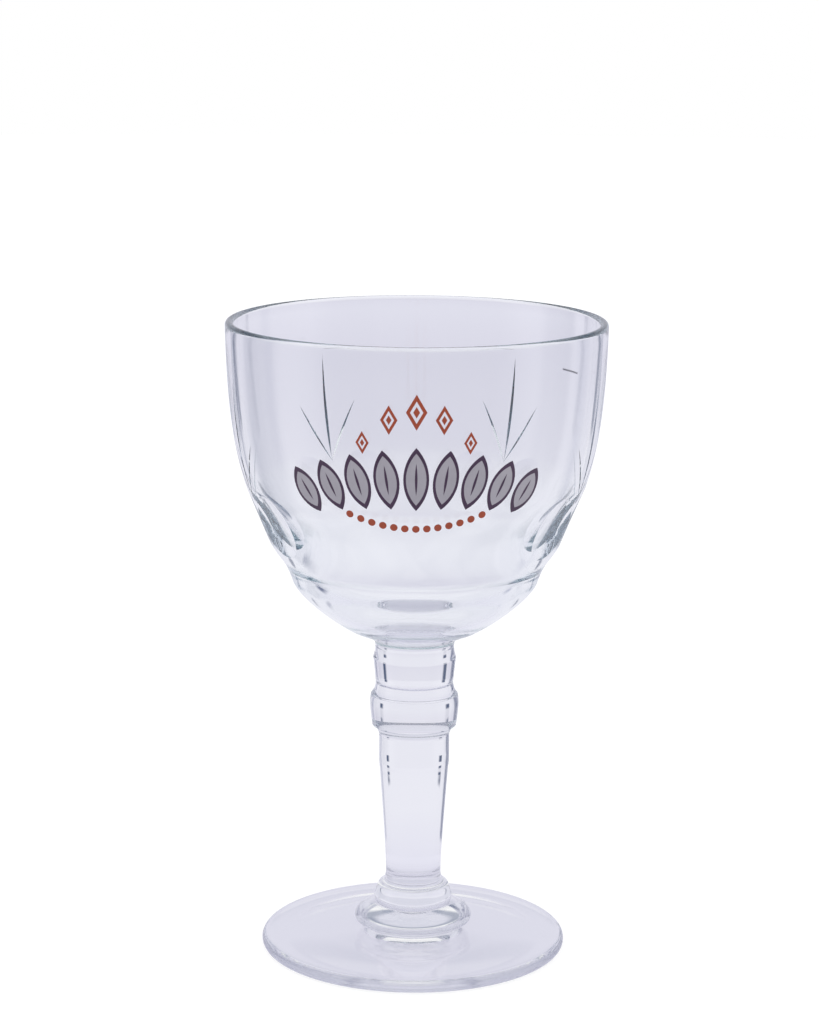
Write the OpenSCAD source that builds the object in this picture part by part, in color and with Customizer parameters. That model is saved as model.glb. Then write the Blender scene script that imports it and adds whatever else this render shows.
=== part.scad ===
// Chalice beer glass: a deep round bowl on a knopped stem and a wide flat foot.
// +Z is up and the origin is the middle of the ring that the foot stands on.
// The front of the glass, with its enamel decoration, faces -Y.

/* [Foot] */
// Diameter of the foot
foot_d = 86.4; // [76:0.2:96]
// Height of the widest point of the foot's rounded edge
foot_edge_h = 1.7; // [1.4:0.1:2.1]
// Height of the foot's top face where the rounded edge ends
foot_rim_h = 3.4; // [2.8:0.1:3.9]
// Height of the foot where the cushion knop stands on it
foot_h = 5.6; // [5:0.1:7]
// How far the rounded edge reaches in from the widest point
foot_edge_reach = 1.7; // [1.2:0.1:2.4]
// Width of the flat ring that the glass stands on
rest_ring_w = 5; // [3:0.5:8]
// Depth of the hollow inside that ring
foot_hollow = 1.2; // [0.6:0.1:1.6]

/* [Cushion knop] */
// Height of the cushion knop
knop_h = 6.4; // [5:0.1:8]
// Diameter of the cushion knop at its widest
knop_d = 33.4; // [32:0.2:40]
// Diameter of the cushion knop where it stands on the foot
knop_seat_d = 25; // [22:0.2:28]

/* [Base ring] */
// Height of the bell-shaped ring under the shaft
ring_h = 9.3; // [7:0.1:12]
// Diameter of the ring at its widest, near its lower end
ring_d = 22; // [21.4:0.2:26]
// Diameter of the ring where it stands on the cushion knop
ring_seat_d = 20.6; // [18:0.2:21]
// Diameter of the ring at its upper shoulder
ring_shoulder_d = 19.2; // [17.6:0.2:20.4]

/* [Shaft] */
// Height of the tapered shaft with its cuff
shaft_h = 40.6; // [30:0.2:60]
// Diameter at the lower end of the shaft
shaft_d = 15.6; // [13:0.2:17]
// Diameter of the plain cuff at the upper end of the shaft
cuff_d = 20; // [18.6:0.2:21.4]
// Height of the cuff
cuff_h = 7.4; // [5:0.1:12]

/* [Collar] */
// Height of the collar
collar_h = 15.2; // [12:0.1:20]
// Diameter of the collar's barrel at its widest
collar_d = 25.1; // [24.2:0.1:30]
// Height of the cove between the cuff and the barrel
collar_low_cove_h = 2.9; // [2:0.1:4]
// Height of the cove between the barrel and the neck
collar_top_cove_h = 3.4; // [2:0.1:4.4]

/* [Neck] */
// Height of the neck
neck_h = 12.3; // [10:0.1:16]
// Diameter of the neck where it stands on the collar
neck_seat_d = 21.9; // [20.4:0.1:22.6]
// Diameter of the neck's ridge
neck_ridge_d = 23.4; // [22.8:0.1:24.6]
// Height of the ridge above the collar
neck_ridge_h = 7.2; // [6:0.1:8]
// Diameter of the neck where the bowl sits on it
bowl_seat_d = 23.2; // [22.6:0.1:24.4]

/* [Bowl] */
// Height of the bowl
bowl_h = 90.6; // [84:0.2:104]
// Diameter of the rim
rim_d = 105.8; // [102:0.2:112]
// Wall thickness at the rim
rim_wall = 2.4; // [2:0.1:3.4]
// Diameter of the bowl at its shoulder
shoulder_d = 95.6; // [93:0.2:99]
// Height of the shoulder above the bowl's seat
shoulder_h = 46.4; // [43:0.2:50]
// Wall thickness at the shoulder, measured level
shoulder_wall = 2.8; // [2.4:0.1:4]
// Diameter of the bowl at its waist
waist_d = 71.9; // [68:0.2:75]
// Height of the waist above the bowl's seat
waist_h = 22.3; // [20:0.1:24]
// Wall thickness at the waist, measured level
waist_wall = 4.8; // [3.6:0.1:5.6]
// Thickness of the glass under the drink, above the bowl's seat
floor_h = 5.4; // [4.4:0.1:8]
// Diameter of the flat middle of the floor
floor_d = 20.8; // [16:0.2:26]

/* [Cut fans] */
// Angle from the front to each side fan
side_fan_angle = 72; // [66:0.5:78]
// Angle from the front to each back fan
back_fan_angle = 146; // [138:0.5:150]
// Turn of all the fans against the decoration
fan_turn_angle = -1; // [-2:0.5:2]
// Height of the point where a fan's rays meet, above the bowl's seat
fan_h = 44.2; // [41:0.2:46]
// Rise of the middle ray
ray_rise = 27.6; // [24:0.2:34]
// Rise of the two outer rays
side_ray_rise = 14; // [12:0.2:20]
// Angle round the bowl between the middle ray's top and an outer ray's top
side_ray_angle = 10.4; // [7:0.2:12]
// Included angle of the V of a ray
ray_v_angle = 50; // [40:1:90]
// Least depth of a ray, below the straight line between its ends
ray_depth = 0.2; // [0.05:0.05:0.3]
// Angle round the bowl between a fan's middle and each of its two olives
olive_angle = 12.6; // [12:0.2:15]
// Height of the middle of an olive above the bowl's seat
olive_h = 35.8; // [34:0.2:38]
// Depth of the cut at the middle of an olive
olive_depth = 0.85; // [0.5:0.05:1.2]
// Radius of the hollow along an olive
olive_hollow_r = 160; // [80:5:240]

/* [Enamel] */
// Thickness of the fired enamel
enamel_t = 0.1; // [0.06:0.01:0.3]
// Number of leaves in the spray
leaf_count = 9; // [5:2:9]
// Length of the middle leaf
leaf_l = 14.4; // [10:0.2:16]
// Width of a leaf at its middle
leaf_w = 5.4; // [4:0.2:6]
// Width of the dark line round a leaf
leaf_line = 0.7; // [0.4:0.1:1]
// Width of the dark vein in a leaf
vein_w = 0.7; // [0.4:0.1:1]
// Drop from the rim to the middle of the spray
spray_drop = 35.2; // [32.6:0.2:38.6]
// Drop from the rim to the middle lozenge's centre
crown_drop = 17; // [14.6:0.2:19.6]
// Length of the middle lozenge
lozenge_l = 9.6; // [6:0.2:11]
// Width of the middle lozenge
lozenge_w = 5.6; // [3:0.2:6.6]
// Drop from the rim to the middle bead
bead_drop = 49.2; // [47.6:0.2:51.6]
// Diameter of a bead
bead_d = 2; // [1.4:0.1:2.6]
// Number of beads in the string under the spray
bead_count = 13; // [5:2:15]
// Drop from the rim to the fill line
fill_line_drop = 18.2; // [14.6:0.2:24.6]
// Length of the fill line
fill_line_l = 9.4; // [5:0.2:20]
// Width of the fill line
fill_line_w = 0.5; // [0.3:0.1:1]
// Angle from the front to the middle of the fill line
fill_line_angle = 117; // [110:1:122]

/* [Hidden] */

$fn = 96;
// Straight steps in each curved stretch of an outline
curve_steps = 8;
// How far a cutter runs past the face that it cuts
overrun = 1.6;
// Width of the wheel that cuts an olive
wheel_w = 26;
// How far a ray's cutter stands out from the line between the ray's ends
ray_reach = 5;
glass_tint = [0.87, 0.87, 0.92, 0.45];
grey_enamel = [0.73, 0.71, 0.74];
plum_enamel = [0.32, 0.23, 0.33];
rust_enamel = [0.72, 0.29, 0.18];

// Heights of the seats, each piece standing on the one before
knop_z = foot_h;
ring_z = knop_z + knop_h;
shaft_z = ring_z + ring_h;
collar_z = shaft_z + shaft_h;
neck_z = collar_z + collar_h;
bowl_z = neck_z + neck_h;
glass_h = bowl_z + bowl_h;

// A point that lies the given shares of the way from a to b, across and up
function between(a, b, share) = [a.x + (b.x - a.x) * share.x, a.y + (b.y - a.y) * share.y];

// A cubic curve from a to b without its first point, pulled towards two handles.
// Each handle is given by its shares of the way from a to b.
function bend(a, b, shares) =
    let (p = between(a, b, shares[0]), q = between(a, b, shares[1]))
    [for (i = [1:curve_steps]) let (t = i / curve_steps, s = 1 - t)
        s * s * s * a + 3 * s * s * t * p + 3 * s * t * t * q + t * t * t * b];

// The points of a line in the other order
function reversed(line) = let (last = len(line) - 1) [for (i = [0:last]) line[last - i]];

// Handles of the foot: up round its edge, in over the edge, across the top, up to the knop, hollow
edge_low_shares = [[0.64, 0], [1, 0.47]];
edge_top_shares = [[0, 0.6], [0.38, 0.94]];
foot_top_shares = [[0.35, 0.18], [0.7, 0.5]];
foot_cove_shares = [[0.6, 0.1], [0.95, 0.45]];
foot_hollow_shares = [[0.3, 0.75], [0.6, 1]];
// Where the cove up to the knop starts, as a share of the knop's seat, and its height share
foot_cove_share = 1.26;
foot_cove_h_share = 0.45;

module foot() {
    rest_out = [foot_d / 2 - foot_edge_reach, 0];
    rest_in = rest_out - [rest_ring_w, 0];
    edge = [foot_d / 2, foot_edge_h];
    edge_in = [foot_d / 2 - foot_edge_reach, foot_rim_h];
    seat = [knop_seat_d / 2, foot_h];
    cove = [seat.x * foot_cove_share, foot_rim_h + (foot_h - foot_rim_h) * foot_cove_h_share];
    color(glass_tint)
        rotate_extrude()
            polygon(concat(
                [rest_out],
                bend(rest_out, edge, edge_low_shares),
                bend(edge, edge_in, edge_top_shares),
                bend(edge_in, cove, foot_top_shares),
                bend(cove, seat, foot_cove_shares),
                [[0, foot_h]],
                reversed(bend(rest_in, [0, foot_hollow], foot_hollow_shares)),
                [rest_in]));
}

// Handles of the cushion knop below and above its widest point
knop_low_shares = [[0.49, 0.03], [1, 0.54]];
knop_top_shares = [[0, 0.45], [0.45, 0.93]];
// Height of the widest point, as a share of the knop's height
knop_wide_share = 0.375;

module foot_knop() {
    seat = [knop_seat_d / 2, knop_z];
    wide = [knop_d / 2, knop_z + knop_h * knop_wide_share];
    top = [ring_seat_d / 2, ring_z];
    color(glass_tint)
        rotate_extrude()
            polygon(concat(
                [[0, knop_z], seat],
                bend(seat, wide, knop_low_shares),
                bend(wide, top, knop_top_shares),
                [[0, ring_z]]));
}

// Handles of the base ring: out to its widest, up to its shoulder, in to the shaft
ring_low_shares = [[0.6, 0], [1, 0.5]];
ring_side_shares = [[0, 0.3], [0.55, 0.85]];
ring_cove_shares = [[0.75, 0.15], [1, 0.55]];
// Heights of the widest point and of the shoulder, as shares of the ring's height
ring_wide_share = 0.2;
ring_shoulder_share = 0.64;

module base_ring() {
    seat = [ring_seat_d / 2, ring_z];
    wide = [ring_d / 2, ring_z + ring_h * ring_wide_share];
    shoulder = [ring_shoulder_d / 2, ring_z + ring_h * ring_shoulder_share];
    top = [shaft_d / 2, shaft_z];
    color(glass_tint)
        rotate_extrude()
            polygon(concat(
                [[0, ring_z], seat],
                bend(seat, wide, ring_low_shares),
                bend(wide, shoulder, ring_side_shares),
                bend(shoulder, top, ring_cove_shares),
                [[0, shaft_z]]));
}

// Handles of the shaft: its long swelling taper and the soft step up to the cuff
taper_shares = [[0, 0.2], [0.62, 0.68]];
cuff_step_shares = [[0.2, 0.5], [0.9, 0.6]];
// Diameter at the top of the taper, as a share of the way from the shaft's foot to its cuff
taper_top_share = 0.84;
// Height of the soft step, as a share of the cuff's height
cuff_step_share = 0.45;

module stem_shaft() {
    low = [shaft_d / 2, shaft_z];
    cuff_top = [cuff_d / 2, collar_z];
    cuff_low = cuff_top - [0, cuff_h];
    taper_top = [low.x + (cuff_top.x - low.x) * taper_top_share, cuff_low.y - cuff_h * cuff_step_share];
    color(glass_tint)
        rotate_extrude()
            polygon(concat(
                [[0, shaft_z], low],
                bend(low, taper_top, taper_shares),
                bend(taper_top, cuff_low, cuff_step_shares),
                [cuff_top, [0, collar_z]]));
}

// Handles of the collar: the cove from the cuff, the barrel, the cove to the neck
low_cove_shares = [[0.05, 0.35], [0.5, 0.95]];
barrel_low_shares = [[0.3, 0.25], [1, 0.7]];
barrel_top_shares = [[0, 0.35], [0.4, 0.8]];
top_cove_shares = [[0.45, 0.2], [0.9, 0.45]];
// Radii of the barrel's two ends and height of its widest point, as shares of the barrel's own
barrel_low_share = 0.95;
barrel_top_share = 0.975;
barrel_wide_share = 0.72;

module stem_collar() {
    seat = [cuff_d / 2, collar_z];
    low = [collar_d / 2 * barrel_low_share, collar_z + collar_low_cove_h];
    top = [collar_d / 2 * barrel_top_share, neck_z - collar_top_cove_h];
    wide = [collar_d / 2, low.y + (top.y - low.y) * barrel_wide_share];
    neck = [neck_seat_d / 2, neck_z];
    color(glass_tint)
        rotate_extrude()
            polygon(concat(
                [[0, collar_z], seat],
                bend(seat, low, low_cove_shares),
                bend(low, wide, barrel_low_shares),
                bend(wide, top, barrel_top_shares),
                bend(top, neck, top_cove_shares),
                [[0, neck_z]]));
}

// Handles of the neck: up to its ridge, in above the ridge, out to the bowl
neck_side_shares = [[0.3, 0.33], [0.75, 0.8]];
neck_hollow_shares = [[0.15, 0.2], [1, 0.45]];
neck_flare_shares = [[0, 0.5], [0.5, 0.8]];
// Radius of the hollow above the ridge, as a share of the ridge's
neck_hollow_share = 0.95;
// Height of that hollow, as a share of the way from the ridge to the bowl
neck_hollow_h_share = 0.64;

module stem_neck() {
    seat = [neck_seat_d / 2, neck_z];
    ridge = [neck_ridge_d / 2, neck_z + neck_ridge_h];
    hollow = [ridge.x * neck_hollow_share, ridge.y + (bowl_z - ridge.y) * neck_hollow_h_share];
    top = [bowl_seat_d / 2, bowl_z];
    color(glass_tint)
        rotate_extrude()
            polygon(concat(
                [[0, neck_z], seat],
                bend(seat, ridge, neck_side_shares),
                bend(ridge, hollow, neck_hollow_shares),
                bend(hollow, top, neck_flare_shares),
                [[0, bowl_z]]));
}

// Handles of the bowl's outside: fillet over the seat, round base, crease at the waist, flare and wall
seat_fillet_shares = [[0.04, 0.21], [0.53, 0.63]];
base_shares = [[0.4, 0.25], [0.92, 0.74]];
crease_shares = [[0.36, 0.33], [0.37, 0.79]];
flare_shares = [[0.48, 0.24], [0.765, 0.63]];
wall_shares = [[0.74, 0.28], [0.92, 0.62]];
// Handles of its inside: round bottom, flare and upper wall
inner_base_shares = [[0.38, 0.06], [0.83, 0.49]];
inner_flare_shares = [[0.35, 0.32], [0.86, 0.74]];
inner_wall_shares = [[0.64, 0.26], [0.93, 0.63]];
// Where the fillet over the seat ends, as shares of the way from the seat to the waist
fillet_end_shares = [0.27, 0.15];
// Where the round base ends, as shares of the way from the seat to the waist
base_end_shares = [0.936, 0.785];

bowl_seat = [bowl_seat_d / 2, bowl_z];
waist = [waist_d / 2, bowl_z + waist_h];
shoulder = [shoulder_d / 2, bowl_z + shoulder_h];
lip_out = [rim_d / 2, glass_h - rim_wall / 2];
fillet_end = between(bowl_seat, waist, fillet_end_shares);
base_end = between(bowl_seat, waist, base_end_shares);

// The upper part of the outside, from the waist to the lip: the enamel lies on it
wall_line = concat([waist], bend(waist, shoulder, flare_shares), bend(shoulder, lip_out, wall_shares));
outside_line = concat([bowl_seat],
    bend(bowl_seat, fillet_end, seat_fillet_shares),
    bend(fillet_end, base_end, base_shares),
    bend(base_end, waist, crease_shares),
    bend(waist, shoulder, flare_shares),
    bend(shoulder, lip_out, wall_shares));

inner_floor = [floor_d / 2, bowl_z + floor_h];
inner_waist = waist - [waist_wall, 0];
inner_shoulder = shoulder - [shoulder_wall, 0];
lip_in = lip_out - [rim_wall, 0];
inside_line = concat([[0, inner_floor.y], inner_floor],
    bend(inner_floor, inner_waist, inner_base_shares),
    bend(inner_waist, inner_shoulder, inner_flare_shares),
    bend(inner_shoulder, lip_in, inner_wall_shares));

// The fire-polished lip: half a circle over the wall's top
lip_steps = 12;
lip_line = [for (i = [1:lip_steps])
    let (turn = 180 * i / lip_steps)
        (lip_in + lip_out) / 2 + rim_wall / 2 * [cos(turn), sin(turn)]];

// Radius of the outside at a height above the bowl's seat
function wall_r(h) = lookup(bowl_z + h, [for (p = wall_line) [p.y, p.x]]);
// The point of the outside at an angle from the front and a height above the bowl's seat
function on_wall(angle, h) = [wall_r(h) * sin(angle), -wall_r(h) * cos(angle), bowl_z + h];

// Turns a shape that stands along +Z, with its face to -Y, so that it runs from point a to point b
module along(a, b) {
    middle = (a + b) / 2;
    turn = atan2(middle.x, -middle.y);
    run = b - a;
    across = run.x * cos(turn) + run.y * sin(turn);
    inward = run.y * cos(turn) - run.x * sin(turn);
    translate(a)
        rotate([0, 0, turn])
            rotate([-asin(inward / norm(run)), atan2(across, run.z), 0])
                children();
}

// The V-shaped cut of a ray: a straight prism whose edge is the chord between two wall points
module ray_cut(angle_a, h_a, angle_b, h_b) {
    a = on_wall(angle_a, h_a);
    b = on_wall(angle_b, h_b);
    v_half_w = (ray_depth + ray_reach) * tan(ray_v_angle / 2);
    along(a, b)
        translate([0, 0, -overrun])
            linear_extrude(norm(b - a) + 2 * overrun)
                polygon([[0, ray_depth], [-v_half_w, -ray_reach], [v_half_w, -ray_reach]]);
}

// How far above and below an olive's middle the wall's slope is taken, as a share of the cut's depth
olive_reach_share = 6;

// The wheel that cuts an olive: its axis lies level outside the wall, so that the cut is flat across
// and a little hollow along, and the wall's own round gives it an oval edge
module olive_cut(angle) {
    reach = olive_depth * olive_reach_share;
    slope = atan2(wall_r(olive_h + reach) - wall_r(olive_h - reach), 2 * reach);
    translate(on_wall(angle, olive_h))
        rotate([0, 0, angle])
            rotate([slope, 0, 0])
                translate([0, olive_depth - olive_hollow_r, 0])
                    rotate([0, 90, 0])
                        cylinder(r = olive_hollow_r, h = wheel_w, center = true);
}

fan_angles = [for (angle = [-back_fan_angle, -side_fan_angle, side_fan_angle, back_fan_angle])
    angle + fan_turn_angle];
// How far an outer ray starts from the middle ray, as a share of its top's angle
ray_start_share = 0.08;

module fan_rays(angle) {
    ray_cut(angle, fan_h, angle, fan_h + ray_rise);
    for (side = [-1, 1])
        ray_cut(angle + side * side_ray_angle * ray_start_share, fan_h,
            angle + side * side_ray_angle, fan_h + side_ray_rise);
}

module bowl() {
    color(glass_tint)
        difference() {
            rotate_extrude()
                polygon(concat([[0, bowl_z]], outside_line, lip_line, [[0, lip_in.y]]));
            rotate_extrude()
                polygon(concat(inside_line, [[lip_in.x, glass_h + overrun], [0, glass_h + overrun]]));
            for (angle = fan_angles) {
                fan_rays(angle);
                for (side = [-1, 1])
                    olive_cut(angle + side * olive_angle);
            }
        }
}

// The thin layer that all the enamel is cut from: it lies on the upper part of the bowl's outside
module enamel_layer() {
    rotate_extrude()
        polygon(concat(wall_line, reversed([for (p = wall_line) p + [enamel_t, 0]])));
}

// Carries a flat shape to a place on the wall, at an angle from the front and a drop from the rim,
// and drives it through the enamel layer
module stamp(angle, drop) {
    rotate([0, 0, angle])
        translate([0, -wall_r(bowl_h - drop) / 2, glass_h - drop])
            rotate([90, 0, 0])
                linear_extrude(rim_d / 2)
                    children();
}

// A pointed leaf: two circles overlapping
module leaf(l, w) {
    r = (l * l + w * w) / (4 * w);
    intersection() {
        translate([r - w / 2, 0])
            circle(r);
        translate([w / 2 - r, 0])
            circle(r);
    }
}

// How far the dark line runs past a leaf's tip, as a share of the line's width
leaf_tip_share = 2.2;
// Length of the vein, as a share of its leaf's
vein_share = 0.62;

module leaf_fill(l) {
    difference() {
        leaf(l, leaf_w);
        leaf(l * vein_share, vein_w);
    }
}

module leaf_border(l) {
    difference() {
        leaf(l + 2 * leaf_line * leaf_tip_share, leaf_w + 2 * leaf_line);
        leaf(l, leaf_w);
    }
    leaf(l * vein_share, vein_w);
}

// The spray: an upright leaf in the middle, and on each side leaves that lean out, sink and shorten
leaf_step_angle = 9;
leaf_lean_angle = 7;
leaf_sink_share = 0.02;
leaf_shrink_share = 0.07;

module spray(border) {
    half = (leaf_count - 1) / 2;
    for (i = [-half:half]) {
        l = leaf_l * (1 - leaf_shrink_share * abs(i));
        stamp(i * leaf_step_angle, spray_drop + leaf_l * leaf_sink_share * i * i)
            rotate(-i * leaf_lean_angle)
                if (border)
                    leaf_border(l);
                else
                    leaf_fill(l);
    }
}

module leaf_print() {
    color(grey_enamel)
        intersection() {
            enamel_layer();
            spray(false);
        }
}

module leaf_border_print() {
    color(plum_enamel)
        intersection() {
            enamel_layer();
            spray(true);
        }
}

module lozenge(l, w) {
    polygon([[0, l / 2], [w / 2, 0], [0, -l / 2], [-w / 2, 0]]);
}

// The crown of lozenges over the spray: each a frame round a small one, smaller to each side
crown_side_count = 2;
crown_step_angle = 8;
crown_shrink_share = 0.18;
crown_sink_share = 0.22;
frame_share = 0.62;
core_share = 0.32;

module lozenge_print() {
    color(rust_enamel)
        intersection() {
            enamel_layer();
            for (i = [-crown_side_count:crown_side_count]) {
                size_share = 1 - crown_shrink_share * abs(i);
                l = lozenge_l * size_share;
                w = lozenge_w * size_share;
                stamp(i * crown_step_angle, crown_drop + lozenge_l * crown_sink_share * i * i) {
                    difference() {
                        lozenge(l, w);
                        lozenge(l * frame_share, w * frame_share);
                    }
                    lozenge(l * core_share, w * core_share);
                }
            }
        }
}

// The string of beads under the spray hangs in a shallow bow
bead_step_angle = 3.6;
bead_bow_share = 0.05;

module bead_print() {
    half = (bead_count - 1) / 2;
    color(rust_enamel)
        intersection() {
            enamel_layer();
            for (i = [-half:half])
                stamp(i * bead_step_angle, bead_drop - bead_d * bead_bow_share * i * i)
                    circle(bead_d / 2);
        }
}

module fill_line_print() {
    color(grey_enamel)
        intersection() {
            enamel_layer();
            stamp(fill_line_angle, fill_line_drop)
                square([fill_line_l, fill_line_w], center = true);
        }
}

foot();
foot_knop();
base_ring();
stem_shaft();
stem_collar();
stem_neck();
bowl();
leaf_print();
leaf_border_print();
lozenge_print();
bead_print();
fill_line_print();
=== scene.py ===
import math
import bpy
from mathutils import Euler, Matrix, Vector


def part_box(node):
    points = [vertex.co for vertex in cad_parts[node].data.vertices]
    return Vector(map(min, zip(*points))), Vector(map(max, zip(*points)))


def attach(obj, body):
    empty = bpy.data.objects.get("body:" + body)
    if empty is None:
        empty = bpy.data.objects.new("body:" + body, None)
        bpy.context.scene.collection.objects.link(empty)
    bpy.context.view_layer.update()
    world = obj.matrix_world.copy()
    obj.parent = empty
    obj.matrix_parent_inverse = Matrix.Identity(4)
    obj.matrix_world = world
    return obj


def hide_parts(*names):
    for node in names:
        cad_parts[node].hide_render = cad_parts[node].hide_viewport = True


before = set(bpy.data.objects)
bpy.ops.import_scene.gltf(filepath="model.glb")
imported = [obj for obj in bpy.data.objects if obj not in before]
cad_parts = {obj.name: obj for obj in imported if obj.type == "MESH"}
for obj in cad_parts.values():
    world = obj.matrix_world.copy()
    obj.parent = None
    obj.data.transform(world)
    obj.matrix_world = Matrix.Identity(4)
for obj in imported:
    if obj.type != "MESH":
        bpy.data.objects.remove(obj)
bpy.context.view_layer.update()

# Foot: the wide disc that the glass stands on, of clear soda-lime glass. It is pressed with a rounded
# edge, a shallow hollow underneath and a low cove up to the knop, and fire-polished. The ring that it
# stands on picks up fine scuffs from tables and trays.


def put(tree, kind, values=None, **settings):
    """Adds a node, with its settings and the values of its inputs."""
    node = tree.nodes.new(kind)
    for name, value in settings.items():
        setattr(node, name, value)
    for name, value in (values or {}).items():
        node.inputs[name].default_value = value
    return node


def new_group(name, inputs, outputs):
    """A node group with named inputs, each with its value, and named outputs."""
    group = bpy.data.node_groups.new(name, "ShaderNodeTree")
    for label, kind, value in inputs:
        group.interface.new_socket(label, in_out="INPUT", socket_type=kind).default_value = value
    for label, kind in outputs:
        group.interface.new_socket(label, in_out="OUTPUT", socket_type=kind)
    return group, group.nodes.new("NodeGroupInput").outputs, group.nodes.new("NodeGroupOutput").inputs


def new_material(name):
    material = bpy.data.materials.new(name)
    material.use_nodes = True
    return material, material.node_tree, material.node_tree.nodes["Principled BSDF"]


def between(a, b, share):
    return a[0] + (b[0] - a[0]) * share[0], a[1] + (b[1] - a[1]) * share[1]


def backwards(low, high):
    """The same two handles, for a stretch that runs the other way."""
    return (1 - high[0], 1 - high[1]), (1 - low[0], 1 - low[1])


def turned(name, start, stretches, steps=20, around=192):
    """A closed solid of glass. Its outline is drawn as a curve of radius and height: each stretch has
    its end and two handles, as shares of the way there. The outline is then spun round the axis."""
    bpy.ops.object.select_all(action="DESELECT")
    bpy.ops.curve.primitive_bezier_curve_add()
    piece = bpy.context.object
    spline = piece.data.splines[0]
    spline.bezier_points.add(len(stretches) - 1)
    piece.data.resolution_u = spline.resolution_u = steps
    here = start
    for i, (end, handles) in enumerate(stretches):
        first, last = spline.bezier_points[i], spline.bezier_points[i + 1]
        for knot in (first, last):
            knot.handle_left_type = knot.handle_right_type = "FREE"
        low, high = handles or ((1 / 3, 1 / 3), (2 / 3, 2 / 3))
        pull, push = between(here, end, low), between(here, end, high)
        first.co, last.co = (here[0], 0, here[1]), (end[0], 0, end[1])
        first.handle_right, last.handle_left = (pull[0], 0, pull[1]), (push[0], 0, push[1])
        here = end
    bpy.ops.object.convert(target="MESH")
    piece = bpy.context.object
    piece.name = piece.data.name = name
    bpy.ops.object.mode_set(mode="EDIT")
    bpy.ops.mesh.select_all(action="SELECT")
    bpy.ops.mesh.spin(steps=around, angle=2 * math.pi, center=(0, 0, 0), axis=(0, 0, 1))
    bpy.ops.mesh.select_all(action="SELECT")
    bpy.ops.mesh.remove_doubles(threshold=1e-6)
    bpy.ops.mesh.normals_make_consistent(inside=False)
    bpy.ops.object.mode_set(mode="OBJECT")
    bpy.ops.object.shade_smooth_by_angle(angle=math.radians(32))
    return piece


# Pressed glass is never quite even: slow waves from the mould, faint smears from handling
surface, given, made = new_group(
    "pressed_glass_surface",
    [("Wave Scale", "NodeSocketFloat", 80.0), ("Smears", "NodeSocketFloat", 0.02),
     ("Scuffed Height", "NodeSocketFloat", 0.0), ("Etching", "NodeSocketFloat", 0.0)],
    [("Tint", "NodeSocketColor"), ("Roughness", "NodeSocketFloat"), ("Height", "NodeSocketFloat")])
place = put(surface, "ShaderNodeTexCoord").outputs["Object"]
waves = put(surface, "ShaderNodeTexNoise", {"Detail": 1.0, "Roughness": 0.4})
smears = put(surface, "ShaderNodeTexNoise", {"Scale": 90.0, "Detail": 5.0, "Roughness": 0.65})
scratches = put(surface, "ShaderNodeTexNoise", {"Scale": 900.0, "Detail": 6.0, "Roughness": 0.8})
smeared = put(surface, "ShaderNodeMapRange", {"From Min": 0.55, "From Max": 0.8, "To Min": 0.0})
height = put(surface, "ShaderNodeSeparateXYZ")
low_down = put(surface, "ShaderNodeMath", operation="LESS_THAN")
scuffs = put(surface, "ShaderNodeMath", operation="MULTIPLY")
faint = put(surface, "ShaderNodeMapRange", {"From Min": 0.5, "From Max": 0.9, "To Min": 0.0, "To Max": 0.3})
worn = put(surface, "ShaderNodeMath", operation="ADD")
mottled = put(surface, "ShaderNodeMath", operation="MULTIPLY_ADD")
tint = put(surface, "ShaderNodeMix", {6: (1, 1, 1, 1), 7: (0.985, 0.99, 0.99, 1)},
           data_type="RGBA")
for source, target in (
        (place, waves.inputs["Vector"]), (place, smears.inputs["Vector"]),
        (place, scratches.inputs["Vector"]), (place, height.inputs[0]),
        (given["Wave Scale"], waves.inputs["Scale"]), (waves.outputs[0], made["Height"]),
        (smears.outputs[0], smeared.inputs["Value"]), (given["Smears"], smeared.inputs["To Max"]),
        (height.outputs["Z"], low_down.inputs[0]), (given["Scuffed Height"], low_down.inputs[1]),
        (scratches.outputs[0], faint.inputs["Value"]),
        (low_down.outputs[0], scuffs.inputs[0]), (faint.outputs[0], scuffs.inputs[1]),
        (smeared.outputs[0], worn.inputs[0]), (scuffs.outputs[0], worn.inputs[1]),
        (smears.outputs[0], mottled.inputs[0]), (given["Etching"], mottled.inputs[1]),
        (worn.outputs[0], mottled.inputs[2]), (mottled.outputs[0], made["Roughness"]),
        (waves.outputs[0], tint.inputs[0]),
        (tint.outputs[2], made["Tint"])):
    surface.links.new(source, target)


def clear_glass(name, wave_scale, wave_depth, smears, scuffed_height=0.0, cast=(0.6, 0.62, 0.72),
                strength=5.0):
    """Clear soda-lime glass with the surface of a pressed piece, and its faint green-blue cast, which
    shows where light runs a long way in it. The faces marked as a joint let light straight by."""
    glass, tree, shader = new_material(name)
    look = put(tree, "ShaderNodeGroup", node_tree=surface)
    look.inputs["Wave Scale"].default_value = wave_scale
    look.inputs["Smears"].default_value = smears
    look.inputs["Scuffed Height"].default_value = scuffed_height
    bump = put(tree, "ShaderNodeBump", {"Strength": 1.0, "Distance": wave_depth})
    etched = put(tree, "ShaderNodeAttribute", attribute_name="etching")
    joint = put(tree, "ShaderNodeAttribute", attribute_name="joint")
    there = put(tree, "ShaderNodeMath", {0: 1.0}, operation="SUBTRACT")
    depth = put(tree, "ShaderNodeVolumeAbsorption", {"Color": (*cast, 1), "Density": strength})
    shader.inputs["Transmission Weight"].default_value = 1.0
    shader.inputs["IOR"].default_value = 1.52
    tree.links.new(etched.outputs["Fac"], look.inputs["Etching"])
    tree.links.new(joint.outputs["Fac"], there.inputs[1])
    tree.links.new(there.outputs[0], shader.inputs["Alpha"])
    tree.links.new(depth.outputs[0], tree.nodes["Material Output"].inputs["Volume"])
    tree.links.new(look.outputs["Tint"], shader.inputs["Base Color"])
    tree.links.new(look.outputs["Roughness"], shader.inputs["Roughness"])
    tree.links.new(look.outputs["Height"], bump.inputs["Height"])
    tree.links.new(bump.outputs["Normal"], shader.inputs["Normal"])
    return glass


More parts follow.
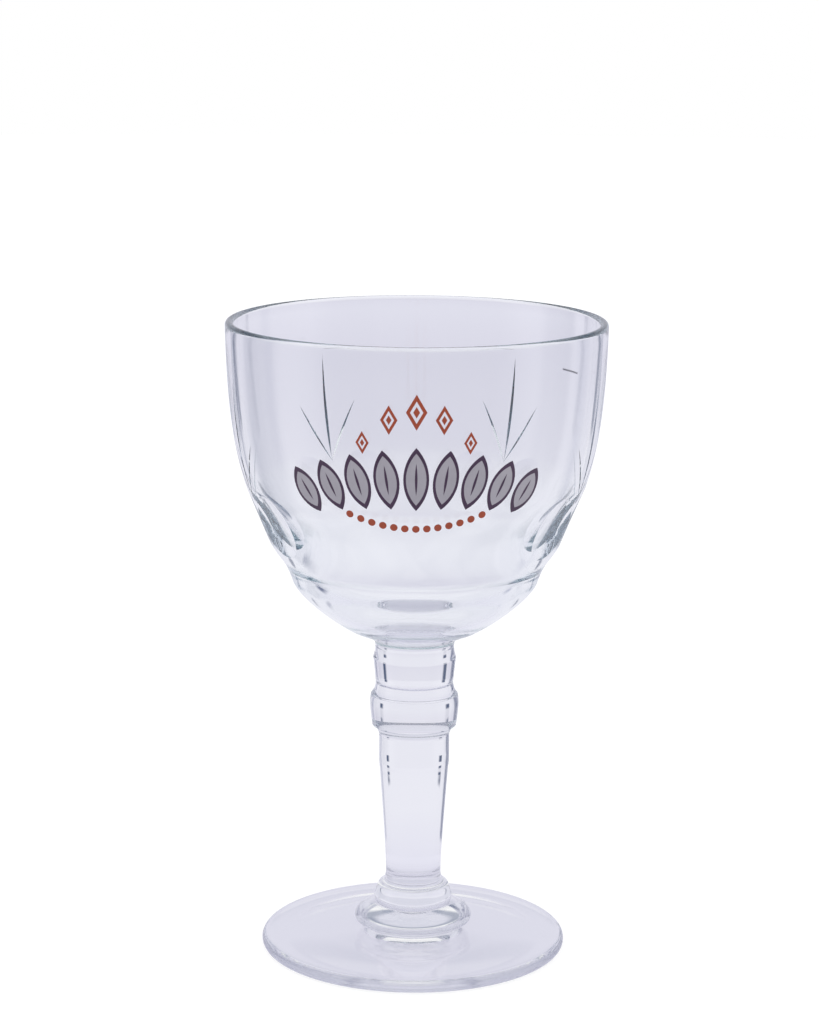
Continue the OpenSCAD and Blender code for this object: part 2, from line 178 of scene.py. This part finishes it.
def finish_glass(piece, node, glass, *joints):
    """Gives a piece its glass. Where it is fused to the next piece there is no surface, so its end is
    marked as a joint, and stands a hundredth of a millimetre back."""
    piece.data.materials.clear()
    piece.data.materials.append(glass)
    marks = piece.data.attributes.new("joint", "FLOAT", "FACE").data
    back = {}
    for face, mark in zip(piece.data.polygons, marks):
        if abs(face.normal.z) > 0.999 and any(abs(face.center.z - z) < 2e-5 for z in joints):
            mark.value = 1.0
            back.update({i: math.copysign(0.00001, face.normal.z) for i in face.vertices})
    for i, step in back.items():
        piece.data.vertices[i].co.z -= step
    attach(piece, "root")
    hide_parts(node)


foot_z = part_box("foot")[1][2]
foot_r, rest_r, hollow_r, hollow_h, foot_rim_h = 0.0432, 0.0415, 0.0365, 0.0012, 0.0034
knop_seat_r = 0.0125
cove_r, cove_h = knop_seat_r * 1.26, 0.00439
foot = turned("pressed_foot", (0, hollow_h), [
    ((hollow_r, 0), backwards((0.3, 0.75), (0.6, 1))),
    ((rest_r, 0), None),
    ((foot_r, foot_rim_h / 2), ((0.64, 0), (1, 0.47))),
    ((rest_r, foot_rim_h), ((0, 0.6), (0.38, 0.94))),
    ((cove_r, cove_h), ((0.35, 0.18), (0.7, 0.5))),
    ((knop_seat_r, foot_z), ((0.6, 0.1), (0.95, 0.45))),
    ((0, foot_z), None)])
foot_glass = clear_glass("foot_glass", 50.0, 0.00001, 0.01, 0.00008)
finish_glass(foot, "foot", foot_glass, foot_z)

# Cushion knop: a wide round knop of the same glass, pressed in one heat with the foot and fused to it.
# Its swelling side works as a lens, and shows the floor and the lights in bright and dark patches.
knop_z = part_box("foot_knop")[1][2]
knop_r, ring_seat_r = 0.0167, 0.0103
knop = turned("cushion_knop", (0, foot_z), [
    ((knop_seat_r, foot_z), None),
    ((knop_r, foot_z + (knop_z - foot_z) * 0.375), ((0.49, 0.03), (1, 0.54))),
    ((ring_seat_r, knop_z), ((0, 0.45), (0.45, 0.93))),
    ((0, knop_z), None)])
stem_glass = clear_glass("stem_glass", 250.0, 0.00002, 0.01)
finish_glass(knop, "foot_knop", stem_glass, foot_z, knop_z)

# Base ring: a small bell-shaped ring at the foot of the shaft, pressed with the stem and fused to the
# knop. Its shoulder steps in sharply to the shaft, which draws two dark lines round it.
ring_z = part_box("base_ring")[1][2]
ring_h, ring_r, ring_top_r, shaft_r = ring_z - knop_z, 0.011, 0.0096, 0.0078
ring = turned("base_bell_ring", (0, knop_z), [
    ((ring_seat_r, knop_z), None),
    ((ring_r, knop_z + ring_h * 0.2), ((0.6, 0), (1, 0.5))),
    ((ring_top_r, knop_z + ring_h * 0.64), ((0, 0.3), (0.55, 0.85))),
    ((shaft_r, ring_z), ((0.75, 0.15), (1, 0.55))),
    ((0, ring_z), None)])
finish_glass(ring, "base_ring", stem_glass, knop_z, ring_z)

# Shaft: the long solid stem, which swells upwards to a plain cuff. It is drawn out of the pressed stem
# while hot, so its sides are smooth and clear, with a soft step under the cuff.
shaft_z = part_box("stem_shaft")[1][2]
cuff_r, cuff_h = 0.01, 0.0074
taper_r = shaft_r + (cuff_r - shaft_r) * 0.84
shaft = turned("tapered_shaft", (0, ring_z), [
    ((shaft_r, ring_z), None),
    ((taper_r, shaft_z - cuff_h * 1.45), ((0, 0.2), (0.62, 0.68))),
    ((cuff_r, shaft_z - cuff_h), ((0.2, 0.5), (0.9, 0.6))),
    ((cuff_r, shaft_z), None),
    ((0, shaft_z), None)])
finish_glass(shaft, "stem_shaft", stem_glass, ring_z, shaft_z)

# Collar: a barrel-shaped ring with a cove above and below, pressed in the ring mould and fused between
# the shaft and the neck. Its coves and shoulders catch the light as thin bright and dark curves.
collar_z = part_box("stem_collar")[1][2]
collar_r, neck_seat_r = 0.01255, 0.01095
barrel_low, barrel_top = shaft_z + 0.0029, collar_z - 0.0034
collar = turned("barrel_collar", (0, shaft_z), [
    ((cuff_r, shaft_z), None),
    ((collar_r * 0.95, barrel_low), ((0.05, 0.35), (0.5, 0.95))),
    ((collar_r, barrel_low + (barrel_top - barrel_low) * 0.72), ((0.3, 0.25), (1, 0.7))),
    ((collar_r * 0.975, barrel_top), ((0, 0.35), (0.4, 0.8))),
    ((neck_seat_r, collar_z), ((0.45, 0.2), (0.9, 0.45))),
    ((0, collar_z), None)])
finish_glass(collar, "stem_collar", stem_glass, shaft_z, collar_z)

# Neck: the short solid length under the bowl, with a faint ridge left by the mould's joint. It is fused
# to the collar below and to the bowl's thick bottom above.
neck_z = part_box("stem_neck")[1][2]
bowl_seat_r, ridge_r = 0.0116, 0.0117
ridge_z = collar_z + 0.0072
neck_hollow = (ridge_r * 0.95, ridge_z + (neck_z - ridge_z) * 0.64)
neck = turned("ridged_neck", (0, collar_z), [
    ((neck_seat_r, collar_z), None),
    ((ridge_r, ridge_z), ((0.3, 0.33), (0.75, 0.8))),
    (neck_hollow, ((0.15, 0.2), (1, 0.45))),
    ((bowl_seat_r, neck_z), ((0, 0.5), (0.5, 0.8))),
    ((0, neck_z), None)])
finish_glass(neck, "stem_neck", stem_glass, collar_z, neck_z)

# Bowl: a deep cup of pressed soda-lime glass, thick at the bottom and about 2.4 mm at the lip, which is
# melted round in the flame. A broad wheel cuts eight shallow olives low on the flanks and the back, and a
# fine one a fan of three rays over each pair. The floor inside is etched dull, to make the drink bead.
bowl_z, rim_z = neck_z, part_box("bowl")[1][2]
rim_r, lip_r, floor_r, floor_z = 0.0529, 0.0012, 0.0104, bowl_z + 0.0054
waist_wall, shoulder_wall = 0.0048, 0.0028
seat, waist, shoulder = (bowl_seat_r, bowl_z), (0.03595, bowl_z + 0.0223), (0.0478, bowl_z + 0.0464)
fillet_end, base_end = between(seat, waist, (0.27, 0.15)), between(seat, waist, (0.936, 0.785))
crease_end = (0.0379, bowl_z + 0.02453)
lip_out, lip_in = (rim_r, rim_z - lip_r), (rim_r - 2 * lip_r, rim_z - lip_r)
inner_waist, inner_shoulder = (waist[0] - waist_wall, waist[1]), (shoulder[0] - shoulder_wall, shoulder[1])
# The wall's curves from waist to shoulder and on to the lip. The bowl joins the first over a soft crease.
flare, wall = ((0.48, 0.24), (0.765, 0.63)), ((0.74, 0.28), (0.92, 0.62))
bowl = turned("cut_bowl", (0, bowl_z), [
    (seat, None),
    (fillet_end, ((0.04, 0.21), (0.53, 0.63))),
    (base_end, ((0.4, 0.25), (0.92, 0.74))),
    (crease_end, ((0.303, 0.444), (0.531, 0.701))),
    (shoulder, ((0.459, 0.265), (0.752, 0.641))),
    (lip_out, wall),
    ((rim_r - lip_r, rim_z), ((0, 0.5523), (0.4477, 1))),
    (lip_in, ((0.5523, 0), (1, 0.4477))),
    (inner_shoulder, backwards((0.64, 0.26), (0.93, 0.63))),
    (inner_waist, backwards((0.35, 0.32), (0.86, 0.74))),
    ((floor_r, floor_z), backwards((0.38, 0.06), (0.83, 0.49))),
    ((0, floor_z), None)], around=256)


def bezier(a, b, handles, t):
    """The point at a share t of a stretch's curve."""
    p, q, s = between(a, b, handles[0]), between(a, b, handles[1]), 1 - t
    return tuple(s ** 3 * a[k] + 3 * s * s * t * p[k] + 3 * s * t * t * q[k] + t ** 3 * b[k]
                 for k in (0, 1))


wall_points = [bezier(waist, shoulder, flare, i / 60) for i in range(60)]
wall_points += [bezier(shoulder, lip_out, wall, i / 60) for i in range(61)]


def wall_r(h):
    """Radius of the outside at a height above the bowl's seat."""
    z = bowl_z + h
    for (r0, z0), (r1, z1) in zip(wall_points, wall_points[1:]):
        if z0 <= z <= z1:
            return r0 + (r1 - r0) * (z - z0) / (z1 - z0)


def on_wall(angle, h):
    turn = math.radians(angle)
    return wall_r(h) * math.sin(turn), -wall_r(h) * math.cos(turn), bowl_z + h


def set_place(piece, place, turn):
    """Puts a piece where it goes and leaves its place in its mesh."""
    piece.location, piece.rotation_euler = place, turn
    bpy.ops.object.select_all(action="DESELECT")
    piece.select_set(True)
    bpy.context.view_layer.objects.active = piece
    bpy.ops.object.transform_apply(location=True, rotation=True, scale=True)


def copied(piece):
    """A copy with a mesh of its own."""
    copy = piece.copy()
    copy.data = piece.data.copy()
    bpy.context.collection.objects.link(copy)
    return copy


def joined(pieces):
    bpy.ops.object.select_all(action="DESELECT")
    for piece in pieces:
        piece.select_set(True)
    bpy.context.view_layer.objects.active = pieces[0]
    bpy.ops.object.join()
    return pieces[0]


def combine(piece, other, operation):
    """Adds, cuts or keeps what two solids share, and takes the second away."""
    change = piece.modifiers.new(operation.lower(), "BOOLEAN")
    change.operation, change.object, change.solver = operation, other, "MANIFOLD"
    bpy.ops.object.select_all(action="DESELECT")
    piece.select_set(True)
    bpy.context.view_layer.objects.active = piece
    bpy.ops.object.modifier_apply(modifier=change.name)
    bpy.data.objects.remove(other)


# The olives are cut by a broad wheel whose axis lies level outside the wall, so each is flat across and a
# little hollow along, and the wall's own round gives it an oval edge
fan_angles = (-147, -73, 71, 145)
olive_angle, olive_h, olive_half_h, olive_depth = 12.6, 0.0358, 0.0051, 0.00085
wheel_r, wheel_w = 0.16, 0.026
slope = math.atan2(wall_r(olive_h + olive_half_h) - wall_r(olive_h - olive_half_h), 2 * olive_half_h)
bpy.ops.object.select_all(action="DESELECT")
bpy.ops.mesh.primitive_cylinder_add(vertices=1024, radius=wheel_r, depth=wheel_w)
wheel = bpy.context.object
level = Matrix.Translation((0, olive_depth - wheel_r, 0)) @ Matrix.Rotation(math.radians(90), 4, "Y")
for side in (-1, 1):
    wheels = []
    for fan in fan_angles:
        angle = fan + side * olive_angle
        turn = Matrix.Rotation(math.radians(angle), 4, "Z") @ Matrix.Rotation(slope, 4, "X")
        at = Matrix.Translation(on_wall(angle, olive_h)) @ turn @ level
        wheels.append(copied(wheel))
        set_place(wheels[-1], at.to_translation(), at.to_euler())
    combine(bowl, joined(wheels), "DIFFERENCE")
bpy.data.objects.remove(wheel)

# A ray is a straight groove of V section, whose edge runs along a chord between two points of the wall.
# The side rays of a fan start a little way out from its middle.
ray_rise, side_ray_rise, side_ray_angle, ray_foot_share, fan_h = 0.0276, 0.014, 10.4, 0.08, 0.0442
ray_depth, groove_h, groove_v, overrun = 0.0002, 0.0052, 50, 0.0016
for side in (-1, 0, 1):
    grooves = []
    for fan in fan_angles:
        low = Vector(on_wall(fan + side * side_ray_angle * ray_foot_share, fan_h))
        high = Vector(on_wall(fan + side * side_ray_angle, fan_h + (side_ray_rise if side else ray_rise)))
        middle, run = (low + high) / 2, high - low
        turn = math.atan2(middle.x, -middle.y)
        across = run.x * math.cos(turn) + run.y * math.sin(turn)
        inward = run.y * math.cos(turn) - run.x * math.sin(turn)
        bpy.ops.object.select_all(action="DESELECT")
        bpy.ops.mesh.primitive_cylinder_add(vertices=3, radius=groove_h / 1.5,
                                            depth=run.length + 2 * overrun)
        groove = bpy.context.object
        bpy.ops.object.mode_set(mode="EDIT")
        bpy.ops.mesh.select_all(action="SELECT")
        bpy.ops.transform.resize(value=(math.tan(math.radians(groove_v / 2)) * math.sqrt(3), 1, 1))
        bpy.ops.transform.translate(value=(0, ray_depth - groove_h / 1.5, run.length / 2))
        bpy.ops.object.mode_set(mode="OBJECT")
        set_place(groove, low, Euler((-math.asin(inward / run.length), math.atan2(across, run.z), turn)))
        grooves.append(groove)
    combine(bowl, joined(grooves), "DIFFERENCE")
bpy.ops.object.shade_smooth_by_angle(angle=math.radians(8))
bowl_glass = clear_glass("bowl_glass", 50.0, 0.00001, 0.01, cast=(0.5, 0.64, 0.7), strength=10.0)
finish_glass(bowl, "bowl", bowl_glass, bowl_z)
etching = bowl.data.attributes.new("etching", "FLOAT", "FACE").data
for face, mark in zip(bowl.data.polygons, etching):
    mark.value = 0.7 if face.normal.z > 0.999 and abs(face.center.z - floor_z) < 2e-5 else 0.0

# Front decoration: ceramic enamel, screen printed on the bowl's outside and fired into it. Three colours
# are laid one after another: warm grey leaves, a dark plum line round each, and rust red lozenges and
# beads. The screen leaves a fine grain, and the edges stand up a little from the glass.
enamel, given, made = new_group(
    "fired_enamel",
    [("Colour", "NodeSocketColor", (0.5, 0.5, 0.5, 1)), ("Grain", "NodeSocketFloat", 0.1),
     ("Sheen", "NodeSocketFloat", 0.35)],
    [("Colour", "NodeSocketColor"), ("Roughness", "NodeSocketFloat"), ("Height", "NodeSocketFloat")])
place = put(enamel, "ShaderNodeTexCoord").outputs["Object"]
grain = put(enamel, "ShaderNodeTexNoise", {"Scale": 2600.0, "Detail": 3.0, "Roughness": 0.6})
cloud = put(enamel, "ShaderNodeTexNoise", {"Scale": 260.0, "Detail": 4.0, "Roughness": 0.6})
both = put(enamel, "ShaderNodeMath", {1: 0.5}, operation="MULTIPLY_ADD")
swing = put(enamel, "ShaderNodeMapRange", {"From Min": 0.3, "From Max": 1.0, "To Min": 1.0})
least = put(enamel, "ShaderNodeMath", {0: 1.0}, operation="SUBTRACT")
shade = put(enamel, "ShaderNodeVectorMath", operation="SCALE")
dull = put(enamel, "ShaderNodeMath", {1: 0.25}, operation="MULTIPLY_ADD")
for source, target in (
        (place, grain.inputs["Vector"]), (place, cloud.inputs["Vector"]),
        (grain.outputs[0], both.inputs[0]), (cloud.outputs[0], both.inputs[2]),
        (both.outputs[0], swing.inputs["Value"]), (given["Grain"], least.inputs[1]),
        (least.outputs[0], swing.inputs["To Max"]), (given["Colour"], shade.inputs[0]),
        (swing.outputs[0], shade.inputs["Scale"]), (shade.outputs[0], made["Colour"]),
        (cloud.outputs[0], dull.inputs[0]), (given["Sheen"], dull.inputs[2]),
        (dull.outputs[0], made["Roughness"]), (grain.outputs[0], made["Height"])):
    enamel.links.new(source, target)


def enamel_paint(name, colour, grain, sheen):
    paint, tree, shader = new_material(name)
    look = put(tree, "ShaderNodeGroup", node_tree=enamel)
    look.inputs["Colour"].default_value = (*colour, 1)
    look.inputs["Grain"].default_value = grain
    look.inputs["Sheen"].default_value = sheen
    bump = put(tree, "ShaderNodeBump", {"Strength": 0.6, "Distance": 0.00002})
    tree.links.new(look.outputs["Colour"], shader.inputs["Base Color"])
    tree.links.new(look.outputs["Roughness"], shader.inputs["Roughness"])
    tree.links.new(look.outputs["Height"], bump.inputs["Height"])
    tree.links.new(bump.outputs["Normal"], shader.inputs["Normal"])
    return paint


def leaf_line(length, width):
    """A pointed leaf: two arcs between its tips, as the places and handles of a closed curve."""
    arc_r = (length ** 2 + width ** 2) / (4 * width)
    reach = 4 / 3 * math.tan(math.asin(length / 2 / arc_r) / 2) * arc_r
    out, down = reach * length / 2 / arc_r, reach * (arc_r - width / 2) / arc_r
    tip = length / 2
    return [((0, tip), (out, tip - down), (-out, tip - down)),
            ((0, -tip), (-out, down - tip), (out, down - tip))]


def cornered_line(corners):
    """Straight sides between four corners, as the places and handles of a closed curve."""
    return [(c, between(c, corners[i - 1], (1 / 3, 1 / 3)),
             between(c, corners[(i + 1) % 4], (1 / 3, 1 / 3))) for i, c in enumerate(corners)]


def lozenge_line(length, width):
    return cornered_line([(0, length / 2), (-width / 2, 0), (0, -length / 2), (width / 2, 0)])


def bar_line(length, width):
    x, y = length / 2, width / 2
    return cornered_line([(x, y), (-x, y), (-x, -y), (x, -y)])


def bead_line(across):
    r, k = across / 2, across / 2 * 0.5523
    return [((0, r), (k, r), (-k, r)), ((-r, 0), (-r, k), (-r, -k)),
            ((0, -r), (-k, -r), (k, -r)), ((r, 0), (r, -k), (r, k))]


def stencil(lines, angle, h, lean=0.0):
    """The open part of the screen for one motif: a flat shape with its holes, as a block driven
    square through the wall at an angle from the front and a height above the bowl's seat."""
    bpy.ops.object.select_all(action="DESELECT")
    bpy.ops.curve.primitive_bezier_curve_add()
    block = bpy.context.object
    block.data.dimensions, block.data.fill_mode = "2D", "BOTH"
    block.data.extrude = 0.014
    block.data.splines.remove(block.data.splines[0])
    for line in lines:
        spline = block.data.splines.new("BEZIER")
        spline.bezier_points.add(len(line) - 1)
        spline.use_cyclic_u = True
        spline.resolution_u = 14
        for knot, (place, before, after) in zip(spline.bezier_points, line):
            knot.handle_left_type = knot.handle_right_type = "FREE"
            knot.co, knot.handle_left, knot.handle_right = (*place, 0), (*before, 0), (*after, 0)
    bpy.ops.object.convert(target="MESH")
    block = bpy.context.object
    bpy.ops.object.mode_set(mode="EDIT")
    bpy.ops.mesh.select_all(action="SELECT")
    bpy.ops.mesh.remove_doubles(threshold=1e-7)
    bpy.ops.mesh.normals_make_consistent(inside=False)
    bpy.ops.object.mode_set(mode="OBJECT")
    turn = Matrix.Rotation(math.radians(angle), 4, "Z") @ Matrix.Rotation(math.radians(90), 4, "X")
    turn = turn @ Matrix.Rotation(math.radians(lean), 4, "Z")
    set_place(block, on_wall(angle, h), turn.to_euler())
    return block


# The film of enamel, 0.1 mm thick, that lies on the wall before the screen gives it its shape
film_out, film_in = 0.0001, -0.00003
film = turned("enamel_film", (waist[0] + film_in, waist[1]), [
    ((waist[0] + film_out, waist[1]), None),
    ((shoulder[0] + film_out, shoulder[1]), flare),
    ((lip_out[0] + film_out, lip_out[1]), wall),
    ((lip_out[0] + film_in, lip_out[1]), None),
    ((shoulder[0] + film_in, shoulder[1]), backwards(*wall)),
    ((waist[0] + film_in, waist[1]), backwards(*flare))], steps=12, around=256)


def printed(name, node, paint, blocks):
    """A layer of enamel: what the openings of its screen let through."""
    layer = copied(film)
    layer.name = layer.data.name = name
    combine(layer, joined(blocks), "INTERSECT")
    bpy.ops.object.shade_smooth_by_angle(angle=math.radians(40))
    layer.data.materials.clear()
    layer.data.materials.append(paint)
    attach(layer, "root")
    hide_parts(node)


grey_paint = enamel_paint("grey_enamel_paint", (0.49, 0.47, 0.5), 0.12, 0.3)
plum_paint = enamel_paint("plum_enamel_paint", (0.085, 0.045, 0.09), 0.3, 0.25)
rust_paint = enamel_paint("rust_enamel_paint", (0.48, 0.09, 0.035), 0.2, 0.3)

leaf_l, leaf_w, leaf_rim, vein_w, spray_h = 0.0144, 0.0054, 0.0007, 0.0007, 0.0554
leaf_step, leaf_lean, leaf_drop, vein_share, tip_rims = 9, 7, 0.02, 0.62, 4.4
fills, borders = [], []
for i in range(-4, 5):
    length = leaf_l * (1 - 0.07 * abs(i))
    leaf, vein = leaf_line(length, leaf_w), leaf_line(length * vein_share, vein_w)
    rim = leaf_line(length + tip_rims * leaf_rim, leaf_w + 2 * leaf_rim)
    at = (i * leaf_step, spray_h - leaf_l * leaf_drop * i * i, -i * leaf_lean)
    fills.append(stencil([leaf, vein], *at))
    borders.append(stencil([rim, leaf, vein], *at))
printed("leaf_enamel", "leaf_print", grey_paint, fills)
printed("leaf_outline_enamel", "leaf_border_print", plum_paint, borders)

crown_h, lozenge_l, lozenge_w = rim_z - bowl_z - 0.017, 0.0096, 0.0056
lozenge_step, lozenge_drop, gap_share, core_share = 8, 0.22, 0.62, 0.32
lozenges = []
for i in range(-2, 3):
    size = 1 - 0.18 * abs(i)
    rings = [lozenge_line(lozenge_l * size * share, lozenge_w * size * share)
             for share in (1, gap_share, core_share)]
    lozenges.append(stencil(rings, i * lozenge_step, crown_h - lozenge_l * lozenge_drop * i * i))
printed("lozenge_enamel", "lozenge_print", rust_paint, lozenges)

bead_d, bead_step, bead_h, bead_lift = 0.002, 3.6, 0.0414, 0.0001
beads = [stencil([bead_line(bead_d)], i * bead_step, bead_h + bead_lift * i * i) for i in range(-6, 7)]
printed("bead_enamel", "bead_print", rust_paint, beads)

# Fill line: a short thin line on the back wall, at the right, that marks the measure. It is printed in
# the same grey enamel as the leaves and fired with them.
fill_line_l, fill_line_w, fill_line_angle, fill_line_drop = 0.0094, 0.0005, 117, 0.0182
mark = [stencil([bar_line(fill_line_l, fill_line_w)], fill_line_angle, rim_z - bowl_z - fill_line_drop)]
printed("fill_line_enamel", "fill_line_print", grey_paint, mark)
bpy.data.objects.remove(film)

# Studio: a wide pale floor, and soft pale surroundings that are a little lavender behind the glass, as a
# sweep of studio paper is. The camera sees both as white, and the glass shows their own tones, with a
# painted shadow on the floor round the foot, and dark bands on the floor as thin lines in the stem.
studio, given, made = new_group(
    "studio_bearings", [("Way", "NodeSocketVector", (0, 1, 0))],
    [("Tone", "NodeSocketColor"), ("Edge", "NodeSocketFloat")])
parts = put(studio, "ShaderNodeSeparateXYZ")
bearing = put(studio, "ShaderNodeMath", operation="ARCTAN2")
share = put(studio, "ShaderNodeMath", {1: 0.5 / math.pi, 2: 0.5}, operation="MULTIPLY_ADD")
tones, edges = put(studio, "ShaderNodeValToRGB"), put(studio, "ShaderNodeValToRGB")
for source, target in (
        (given["Way"], parts.inputs[0]), (parts.outputs["X"], bearing.inputs[0]),
        (parts.outputs["Y"], bearing.inputs[1]), (bearing.outputs[0], share.inputs[0]),
        (share.outputs[0], tones.inputs[0]), (share.outputs[0], edges.inputs[0]),
        (tones.outputs[0], made["Tone"]), (edges.outputs[0], made["Edge"])):
    studio.links.new(source, target)


def set_tones(node, stops):
    """Sets a ramp from positions and their colours or greys."""
    ramp = node.color_ramp
    for i, (position, tone) in enumerate(stops):
        stop = ramp.elements[i] if i < 2 else ramp.elements.new(position)
        stop.position = position
    for stop, (position, tone) in zip(ramp.elements, stops):
        stop.color = (*(tone if isinstance(tone, tuple) else (tone, tone, tone)), 1)


def bearings(stops):
    """Stops at bearings from straight behind the glass, in degrees, as seen from above."""
    return [(degrees / 360 + 0.5, tone) for degrees, tone in stops]


room_grey, left_shade, right_shade = (0.5, 0.5, 0.56), (0.15, 0.18, 0.28), (0.6, 0.62, 0.7)
set_tones(tones, bearings([
    (-180, room_grey), (-125, room_grey), (-105, 1.0), (-92, 1.0), (-84, (0.3, 0.33, 0.42)),
    (-66, left_shade), (-58, left_shade), (-52, 1.0), (56, 1.0), (60, right_shade), (66, right_shade),
    (70, 1.0), (105, 1.0), (125, room_grey), (180, room_grey)]))
set_tones(edges, bearings([
    (-180, 0.0), (-41, 0.0), (-39.5, 1.0), (-34.5, 1.0), (-33, 0.0), (33, 0.0), (34.5, 1.0), (38, 1.0),
    (39.5, 0.0), (180, 0.0)]))

bpy.ops.object.select_all(action="DESELECT")
bpy.ops.mesh.primitive_circle_add(vertices=96, radius=3.0, fill_type="NGON", location=(0, 0, -0.0001))
floor = bpy.context.object
floor.name = "studio_floor"
# The ramps along the floor run from the glass to this far out. Close to the foot the floor has no tones
# by bearing, and its dark bands are weak from 35 to 55 cm, where they would show through the bowl.
floor_reach = 1.5
paper, tree, shader = new_material("studio_paper")
shader.inputs["Base Color"].default_value = (0.3, 0.3, 0.31, 1)
shader.inputs["Roughness"].default_value = 0.9
shader.inputs["Specular IOR Level"].default_value = 0.0
kind = put(tree, "ShaderNodeLightPath")
spot = put(tree, "ShaderNodeTexCoord")
away = put(tree, "ShaderNodeVectorMath", operation="LENGTH")
span = put(tree, "ShaderNodeMath", {1: 1 / floor_reach}, operation="MULTIPLY")
# Painted shadow: through the glass, the floor is darker within about 9 cm of the glass's axis
depth = put(tree, "ShaderNodeValToRGB")
set_tones(depth, [
    (0.0, (0.7, 0.69, 0.8)), (0.03, (0.73, 0.725, 0.83)), (0.06, (0.82, 0.815, 0.915)),
    (0.12, (0.88, 0.88, 0.95)), (0.2, (0.88, 0.88, 0.95)), (0.333, (0.83, 0.825, 0.905)),
    (0.535, (0.76, 0.75, 0.85)), (0.72, (0.745, 0.735, 0.84)), (0.87, (0.785, 0.78, 0.88)),
    (1.0, (0.79, 0.785, 0.88))])
round_it = put(tree, "ShaderNodeGroup", node_tree=studio)
toned = put(tree, "ShaderNodeMix", data_type="RGBA", blend_type="MULTIPLY")
beyond = put(tree, "ShaderNodeMapRange", {"From Min": 0.13, "From Max": 0.15})
far_off = put(tree, "ShaderNodeValToRGB")
set_tones(far_off, [(0.157, 0.0), (0.167, 1.0), (0.2, 1.0), (0.235, 0.15), (0.37, 0.15), (0.4, 1.0)])
edge = put(tree, "ShaderNodeMath", operation="MULTIPLY")
edged = put(tree, "ShaderNodeMix", {7: (0.06, 0.09, 0.17, 1)}, data_type="RGBA")
seen = put(tree, "ShaderNodeMix", {7: (0.8, 0.8, 0.8, 1)}, data_type="RGBA")
glow = put(tree, "ShaderNodeEmission", {"Strength": 1.0})
lit = put(tree, "ShaderNodeMixShader")
total = put(tree, "ShaderNodeAddShader")
for source, target in (
        (spot.outputs["Object"], away.inputs[0]), (away.outputs["Value"], span.inputs[0]),
        (span.outputs[0], depth.inputs[0]), (spot.outputs["Object"], round_it.inputs["Way"]),
        (depth.outputs[0], toned.inputs[6]), (round_it.outputs["Tone"], toned.inputs[7]),
        (away.outputs["Value"], beyond.inputs["Value"]), (beyond.outputs[0], toned.inputs[0]),
        (span.outputs[0], far_off.inputs[0]), (far_off.outputs[0], edge.inputs[0]),
        (round_it.outputs["Edge"], edge.inputs[1]), (edge.outputs[0], edged.inputs[0]),
        (toned.outputs[2], edged.inputs[6]), (kind.outputs["Is Camera Ray"], seen.inputs[0]),
        (edged.outputs[2], seen.inputs[6]), (seen.outputs[2], glow.inputs["Color"]),
        (kind.outputs["Is Camera Ray"], lit.inputs[0]), (glow.outputs[0], lit.inputs[1]),
        (glow.outputs[0], total.inputs[0]), (shader.outputs[0], total.inputs[1]),
        (total.outputs[0], lit.inputs[2]), (lit.outputs[0], tree.nodes["Material Output"].inputs[0])):
    tree.links.new(source, target)
floor.data.materials.append(paper)

world = bpy.data.worlds.new("studio")
bpy.context.scene.world = world
world.use_nodes = True
tree = world.node_tree
kind = put(tree, "ShaderNodeLightPath")
way = put(tree, "ShaderNodeTexCoord")
parts = put(tree, "ShaderNodeSeparateXYZ")
round_it = put(tree, "ShaderNodeGroup", node_tree=studio)
rise = put(tree, "ShaderNodeValToRGB")
set_tones(rise, [(0.0, (0.76, 0.765, 0.85)), (0.36, (0.74, 0.745, 0.83)), (0.42, (0.4, 0.43, 0.52)),
                 (0.48, (0.4, 0.43, 0.52)), (0.54, (1, 1, 1)), (1.0, (1, 1, 1))])
toned = put(tree, "ShaderNodeMix", {0: 1.0}, data_type="RGBA", blend_type="MULTIPLY")
plain = put(tree, "ShaderNodeMath", operation="MAXIMUM")
shown = put(tree, "ShaderNodeMix", {7: (1, 1, 1, 1)}, data_type="RGBA")
for source, target in (
        (way.outputs["Generated"], parts.inputs[0]), (parts.outputs["Z"], rise.inputs[0]),
        (way.outputs["Generated"], round_it.inputs["Way"]),
        (rise.outputs[0], toned.inputs[6]), (round_it.outputs["Tone"], toned.inputs[7]),
        (kind.outputs["Is Camera Ray"], plain.inputs[0]), (kind.outputs["Is Diffuse Ray"], plain.inputs[1]),
        (plain.outputs[0], shown.inputs[0]), (toned.outputs[2], shown.inputs[6]),
        (shown.outputs[2], tree.nodes["Background"].inputs["Color"])):
    tree.links.new(source, target)

# Camera: a long lens at a table's distance, a little above the rim, as the photograph was taken. The
# glass bends light many times over, so the light's paths are long.
bpy.ops.object.select_all(action="DESELECT")
bpy.ops.object.camera_add(location=(-0.0017, -0.80287, 0.29237))
camera = bpy.context.object
camera.data.lens = 103.19
camera.data.sensor_width = 36.0
camera.data.clip_start, camera.data.clip_end = 0.01, 20.0
look_down, roll = 11.716, 0.36
tilt = Matrix.Rotation(math.radians(90 - look_down), 4, "X") @ Matrix.Rotation(math.radians(roll), 4, "Z")
camera.rotation_euler = tilt.to_euler()
scene = bpy.context.scene
scene.camera = camera
scene.view_settings.view_transform = "Standard"
scene.cycles.max_bounces = 64
scene.cycles.transmission_bounces = 64
scene.cycles.glossy_bounces = 64
scene.cycles.transparent_max_bounces = 64
